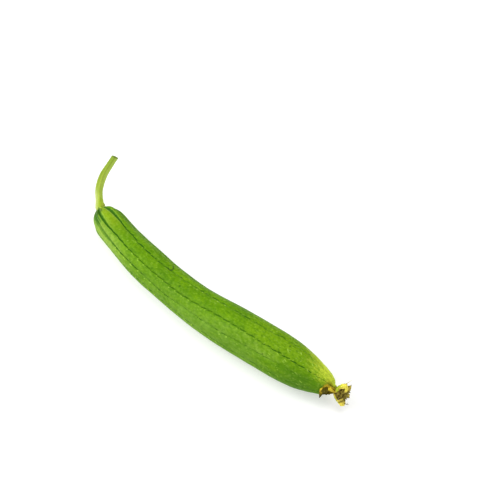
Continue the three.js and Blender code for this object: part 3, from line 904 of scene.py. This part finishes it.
FOLDED_PETALS = {
    "folded": dict(
        spine=[(174, -12.4, 19.5), (172.6, -13.8, 20.9), (170.7, -15.3, 22.7), (169, -17.6, 24.2),
               (167.2, -20.3, 24), (165.9, -22.6, 21.2), (165.8, -25, 16.1)],
        half=[1.3, 1.7, 2.6, 3.6, 3.1, 1.7, 0.12], curl=0.8, crumple=0.45,
        tones=[(0, 0, 0.34), (0.1, 0, 0.32), (0.15, -1, 0.56), (0.24, 0, 0.25), (0.28, 1, 0.48),
               (0.4, -0.2, 0.5), (0.36, -0.8, 0.66), (0.48, 0.2, 0.74), (0.58, 0.4, 0.8),
               (0.55, -0.2, 0.66), (0.5, -1, 0.76), (0.66, 0, 0.7), (0.64, -0.7, 0.76), (0.76, 0.4, 0.46),
               (0.8, -0.5, 0.68), (0.9, 0, 0.7), (1, 0, 0.84)]),
    "folded_patch": dict(
        spine=[(173.8, -13.8, 21.2), (172.3, -15, 22.9), (171, -16.3, 24.9), (169.9, -17, 26),
               (168.8, -16.9, 26.5)],
        half=[0.7, 1.3, 2, 1.9, 0.5], curl=1.1, crumple=0.3,
        tones=[(0, 0, 0.33), (0.35, 0, 0.25), (0.6, 0, 0.2), (0.8, 0, 0.22), (1, 0, 0.3), (0.45, 1, 0.42),
               (0.45, -1, 0.34)]),
    "folded_under": dict(
        spine=[(173, -13.6, 19.6), (171.1, -16.4, 20), (168.8, -19.4, 20.3), (166.4, -21.7, 19.4)],
        half=[0.6, 1.2, 1.5, 0.6], curl=0.8, crumple=0.3,
        tones=[(0, 0, 0.52), (0.25, 0, 0.58), (0.5, 0, 0.72), (1, 0, 0.7)]),
    "folded_ridge": dict(
        spine=[(173.2, -12.1, 21.9), (171.2, -13.3, 23.5), (169.1, -15.1, 25.4), (167.1, -16.7, 27),
               (165.8, -18.6, 26.7), (164.9, -20.5, 25)],
        half=[1.2, 1.3, 1.2, 1.5, 1.4, 0.4], curl=1.15, crumple=0.35,
        tones=[(0, 0, 0.52), (0.2, 0, 0.46), (0.3, -0.8, 0.4), (0.42, 0, 0.34), (0.55, 0.3, 0.4),
               (0.62, -0.6, 0.36), (0.8, 0, 0.5), (1, 0, 0.52)]),
    "folded_margin": dict(
        spine=[(166.3, -22.5, 21.2), (164.9, -22.5, 22.3), (164.5, -21.6, 24.2), (165.1, -20, 25.9)],
        half=[0.8, 1.2, 1.1, 0.4], curl=0.9, crumple=0.25,
        tones=[(0, 0, 0.46), (0.3, 0, 0.4), (0.6, 0, 0.32), (0.4, 0.9, 0.14), (0.7, 0.8, 0.16),
               (1, 0, 0.44)]),
    "folded_brow": dict(
        spine=[(169.6, -16.1, 26.5), (168.4, -17.3, 27.5), (167.1, -18.5, 27.6), (166.1, -20, 26.4)],
        half=[0.5, 0.8, 0.8, 0.3], curl=1.1, crumple=0.2,
        tones=[(0, 0, 0.34), (0.3, 0, 0.42), (0.7, 0, 0.5), (1, 0, 0.54)]),
}


# How far the tone of a mark reaches along a petal and across it.
TONE_REACH = (0.16, 0.75)
PLEAT_DEPTH = 0.12
RUFFLE_DEPTH = 0.35
# Dried hairs: their spine, thickness and tone.
THREADS = [
    ([(176.5, -3.8, 25.5), (178.2, -1, 26.9), (179.7, 2.8, 29.1)], 0.3, 0.4),
    ([(184.7, -12.8, 13.8), (186.6, -12, 13.6), (188.3, -10.6, 13.1)], 0.42, 0.6),
    ([(186.6, -12, 13.6), (187, -11.4, 14), (187, -10.7, 14.5)], 0.3, 0.6),
]
HEART_MIDDLE = TO_MIDDLE + (177.6, -9.6, 18.3)
HEART_SIZE = (5, 4.9, 5.1)
FOLD_SIZE = 2.3
FOLD_HEIGHT = 0.95
CRUMPLE_SIZE = 0.9
CRUMPLE_HEIGHT = 0.28
NECK_RADIUS = 2.7


def dryness(tones, along, across):
    """Each place takes the tone of the marks nearest to it."""
    total = np.zeros_like(along)
    weight = np.full_like(along, 1e-9)
    for at_along, at_across, tone in tones:
        apart = ((along - at_along) / TONE_REACH[0]) ** 2 + ((across - at_across) / TONE_REACH[1]) ** 2
        pull = np.exp(-apart) + 1e-4 / (1 + apart)
        total += pull * tone
        weight += pull
    return total / weight


def add_petal(bm, layer, dry, seed, spine, half, curl, crumple, tones, facing=TO_NEAR_SIDE):
    """A thin petal along its spine, with curled margins, pleats and a crumpled face."""
    path = Path(np.array(spine) + TO_MIDDLE)

    def place(u, v):
        across = 2 * u - 1
        centre, _, aside, above = path.section(v, facing)
        width = np.interp(v, np.linspace(0, 1, len(half)), half)
        width = width * (1 + 0.1 * np.sin(v * 23 + seed) * np.abs(across))
        wide = width * np.sin(across * curl) / curl
        deep = -width * (1 - np.cos(across * curl)) / curl
        flat = centre + aside * wide[:, None] + above * deep[:, None]
        pleats = PLEAT_DEPTH * np.cos(across * 9 + seed) * np.minimum(width, 1.5)
        ruffle = RUFFLE_DEPTH * crumple * np.sin(v * 19 + seed * 2 + across * 1.5) * across ** 2 * width
        push = pleats + ruffle + crumple * (rough(flat, 1.3, seed) + 0.6 * rough(flat, 0.55, seed + 3))
        tone = np.clip(dryness(tones, v, across) + 0.1 * rough(flat, 0.7, seed + 7), 0, 1)
        return flat + above * push[:, None], (across, v), tone

    _, faces = shaped_grid(bm, PETAL_COLUMNS, PETAL_ROWS, place, layer, dry)
    bmesh.ops.recalc_face_normals(bm, faces=faces)
    bmesh.ops.solidify(bm, geom=faces, thickness=PETAL_WALL * MM)


def add_thread(bm, layer, dry, spine, thickness, tone):
    """A dried hair that tapers to its point."""
    path = Path(np.array(spine) + TO_MIDDLE)

    def place(u, v):
        section = path.section(v, UP)
        radius = thickness * (1 - 0.75 * v) * np.where((v <= 0) | (v >= 1), 0, 1)
        return point_on(section, 2 * np.pi * u, radius), (u, v), np.full_like(v, tone)

    corners, _ = shaped_grid(bm, 8, 24, place, layer, dry)
    bmesh.ops.remove_doubles(bm, verts=corners, dist=0.004 * MM)


def add_threads(bm, layer, dry):
    for spine, thickness, tone in THREADS:
        add_thread(bm, layer, dry, spine, thickness, tone)


def add_heart(bm, layer, dry):
    """The crumpled middle of the flower, with deep folds."""
    made = bmesh.ops.create_icosphere(bm, subdivisions=6, radius=1)
    outward = np.array([corner.co for corner in made["verts"]])
    ball = outward * HEART_SIZE
    folds = 1 - np.abs(rough(ball + 0.8 * rough(ball, 3, 31)[:, None], FOLD_SIZE, 21)) * 2.6
    small = 1 - np.abs(rough(ball, CRUMPLE_SIZE, 22)) * 2.2
    height = FOLD_HEIGHT * folds + CRUMPLE_HEIGHT * small
    places = HEART_MIDDLE + ball * (0.82 + 0.2 * height)[:, None]
    # Its tone is darker down in the hollows between the folds: painted shade.
    tone = np.clip(0.7 - 0.17 * ease(height, -0.2, 1.15) + 0.08 * rough(ball, 1.6, 24), 0, 1)
    for corner, point, shade in zip(made["verts"], places, tone):
        corner.co = Vector(point) * MM
        corner[dry] = shade


def add_neck(bm, layer, dry):
    """The flower's tube, from the fruit's tip to where the petals part."""
    tip, ahead, _, _ = fruit_middle.section(np.ones(1), UP)
    start = tip[0] - ahead[0] * 1.2
    path = Path([start, tip[0] + ahead[0] * 1.2, TO_MIDDLE + (175.25, -10.4, 19.6)])

    def place(u, v):
        turn = 2 * np.pi * u
        section = path.section(v, UP)
        ribs = 1 + 0.07 * np.cos(5 * turn) + 0.03 * np.cos(15 * turn + 1)
        flare = 0.9 * ease(v, 0.55, 1) + 0.7 * ease(v, 0.25, 0)
        radius = (NECK_RADIUS - 0.5 * np.sin(np.pi * v) + flare) * ribs
        closed = np.where((v <= 0) | (v >= 1), 0, radius)
        lower = ease(np.cos(turn), 0.75, 0.25)
        points = point_on(section, turn, closed)
        tone = 0.06 - 0.06 * ease(v, 0.62, 0.4) + 0.52 * lower + 0.1 * rough(points, 1.4, 0)
        return points, (u, v), tone

    corners, _ = shaped_grid(bm, 60, 24, place, layer, dry)
    bmesh.ops.remove_doubles(bm, verts=corners, dist=0.01 * MM)


# How the petals look as they dry: [how dry, colour]. The stop at 0.2 is paler and brighter than the
# yellow beside it, a yellow with a painted highlight in it that shows most on the crescent.
PETAL_TONES = [
    (0, (122, 130, 20)), (0.05, (168, 186, 44)), (0.12, (206, 208, 54)), (0.2, (255, 244, 104)),
    (0.27, (242, 224, 84)), (0.34, (214, 194, 86)), (0.46, (164, 150, 66)), (0.6, (104, 88, 26)),
    (0.76, (62, 50, 8)), (0.9, (38, 44, 12)), (1, (24, 24, 16)),
]
FOLDED_TONES = [
    (0, (168, 186, 44)), (0.12, (208, 206, 52)), (0.22, (250, 226, 64)), (0.34, (206, 180, 48)),
    (0.46, (158, 140, 24)), (0.6, (118, 104, 20)), (0.76, (66, 66, 16)), (0.9, (42, 52, 16)),
    (1, (22, 26, 14)),
]


def flower_finish(name, tones):
    f = Finish(name)
    across, along = f.map_numbers("petal")
    dry = f.value(f.node("Attribute", {"attribute_name": "dry"}), "Fac")
    blotches = f.noise(f.object_place(), 700, 3, 0.6)
    veins = f.noise(f.vector(across * 9, along * 1.6), 1, 3, 0.6)
    tone = dry + (blotches - 0.5) * 0.16 + (veins - 0.5) * 0.14
    stops = [(position, color(*tint)) for position, tint in tones]
    petal = f.node("ValToRGB", {"stops": stops}, {0: tone}).outputs[0]
    height = blotches * 0.8 + veins
    roughness = 0.42 + 0.3 * dry
    return f.coat(petal, roughness, f.bump(height, 0.28 * MM), Specular_IOR_Level=0.1)


def make_flower_piece(name, petals, node, seed, tones=PETAL_TONES, extra=()):
    bm = bmesh.new()
    layer = bm.loops.layers.uv.new("petal")
    dry = bm.verts.layers.float.new("dry")
    for number, shape in enumerate(petals.values()):
        add_petal(bm, layer, dry, seed + number, **shape)
    for add in extra:
        add(bm, layer, dry)
    finished_piece(name, bm, flower_finish(name + "_finish", tones), node)


make_skin()
make_stem()
make_flower_piece("yellow_flower", YELLOW_PETALS, "yellow_petals", 1, extra=[add_neck])
inside = [add_heart, add_threads]
make_flower_piece("withered_flower", BROWN_PETALS, "brown_petals", 20, extra=inside)
make_flower_piece("petal_folded_back", FOLDED_PETALS, "folded_petal", 40, FOLDED_TONES)


# -------- floor, light and camera

FLOOR_GREYS = (0.58, 0.62)
CAMERA_LENS = 85
CAMERA_FILM = 36
CAMERA_AIM = (-0.0147, 0.0732, 0)
CAMERA_ROUND = math.radians(43.7)
CAMERA_ABOVE = math.radians(46)
CAMERA_AWAY = 1.2


def grey(level):
    return (level, level, level, 1)


def make_floor():
    bm = bmesh.new()
    bmesh.ops.create_grid(bm, x_segments=1, y_segments=1, size=4)
    f = Finish("white_table")
    grain = f.noise(f.object_place(), 3)
    white = f.mix(grain, grey(FLOOR_GREYS[0]), grey(FLOOR_GREYS[1]))
    glow = {"Emission_Color": grey(1), "Emission_Strength": 0.5, "Specular_IOR_Level": 0.0}
    floor = added_mesh("table", bm, f.coat(white, 0.9, f.bump(grain, 0.1 * MM), **glow))


def make_light(name, place, size, power):
    data = bpy.data.lights.new(name, "AREA")
    data.shape = "DISK"
    data.size = size
    data.energy = power
    lamp = added(name, data)
    lamp.location = place
    lamp.rotation_euler = (-Vector(place)).to_track_quat("-Z", "Y").to_euler()


def make_camera():
    """The photograph's view, from the fruit's near side and above."""
    data = bpy.data.cameras.new("camera")
    data.lens = CAMERA_LENS
    data.sensor_width = CAMERA_FILM
    flat = math.cos(CAMERA_ABOVE)
    back = Vector((math.sin(CAMERA_ROUND) * flat, -math.cos(CAMERA_ROUND) * flat, math.sin(CAMERA_ABOVE)))
    camera = added("camera", data)
    camera.location = Vector(CAMERA_AIM) + back * CAMERA_AWAY
    camera.rotation_euler = (-back).to_track_quat("-Z", "Y").to_euler()
    bpy.context.scene.camera = camera


make_floor()
make_light("soft_box_left", (-0.95, -0.75, 1.0), 0.9, 17)
make_light("soft_box_above", (0.1, 0.25, 1.7), 1.4, 14)
world = bpy.data.worlds.new("studio")
world.use_nodes = True
glow = world.node_tree.nodes["Background"].inputs
glow["Color"].default_value = grey(1)
glow["Strength"].default_value = 0.45
bpy.context.scene.world = world
bpy.context.scene.view_settings.view_transform = "Standard"
make_camera()
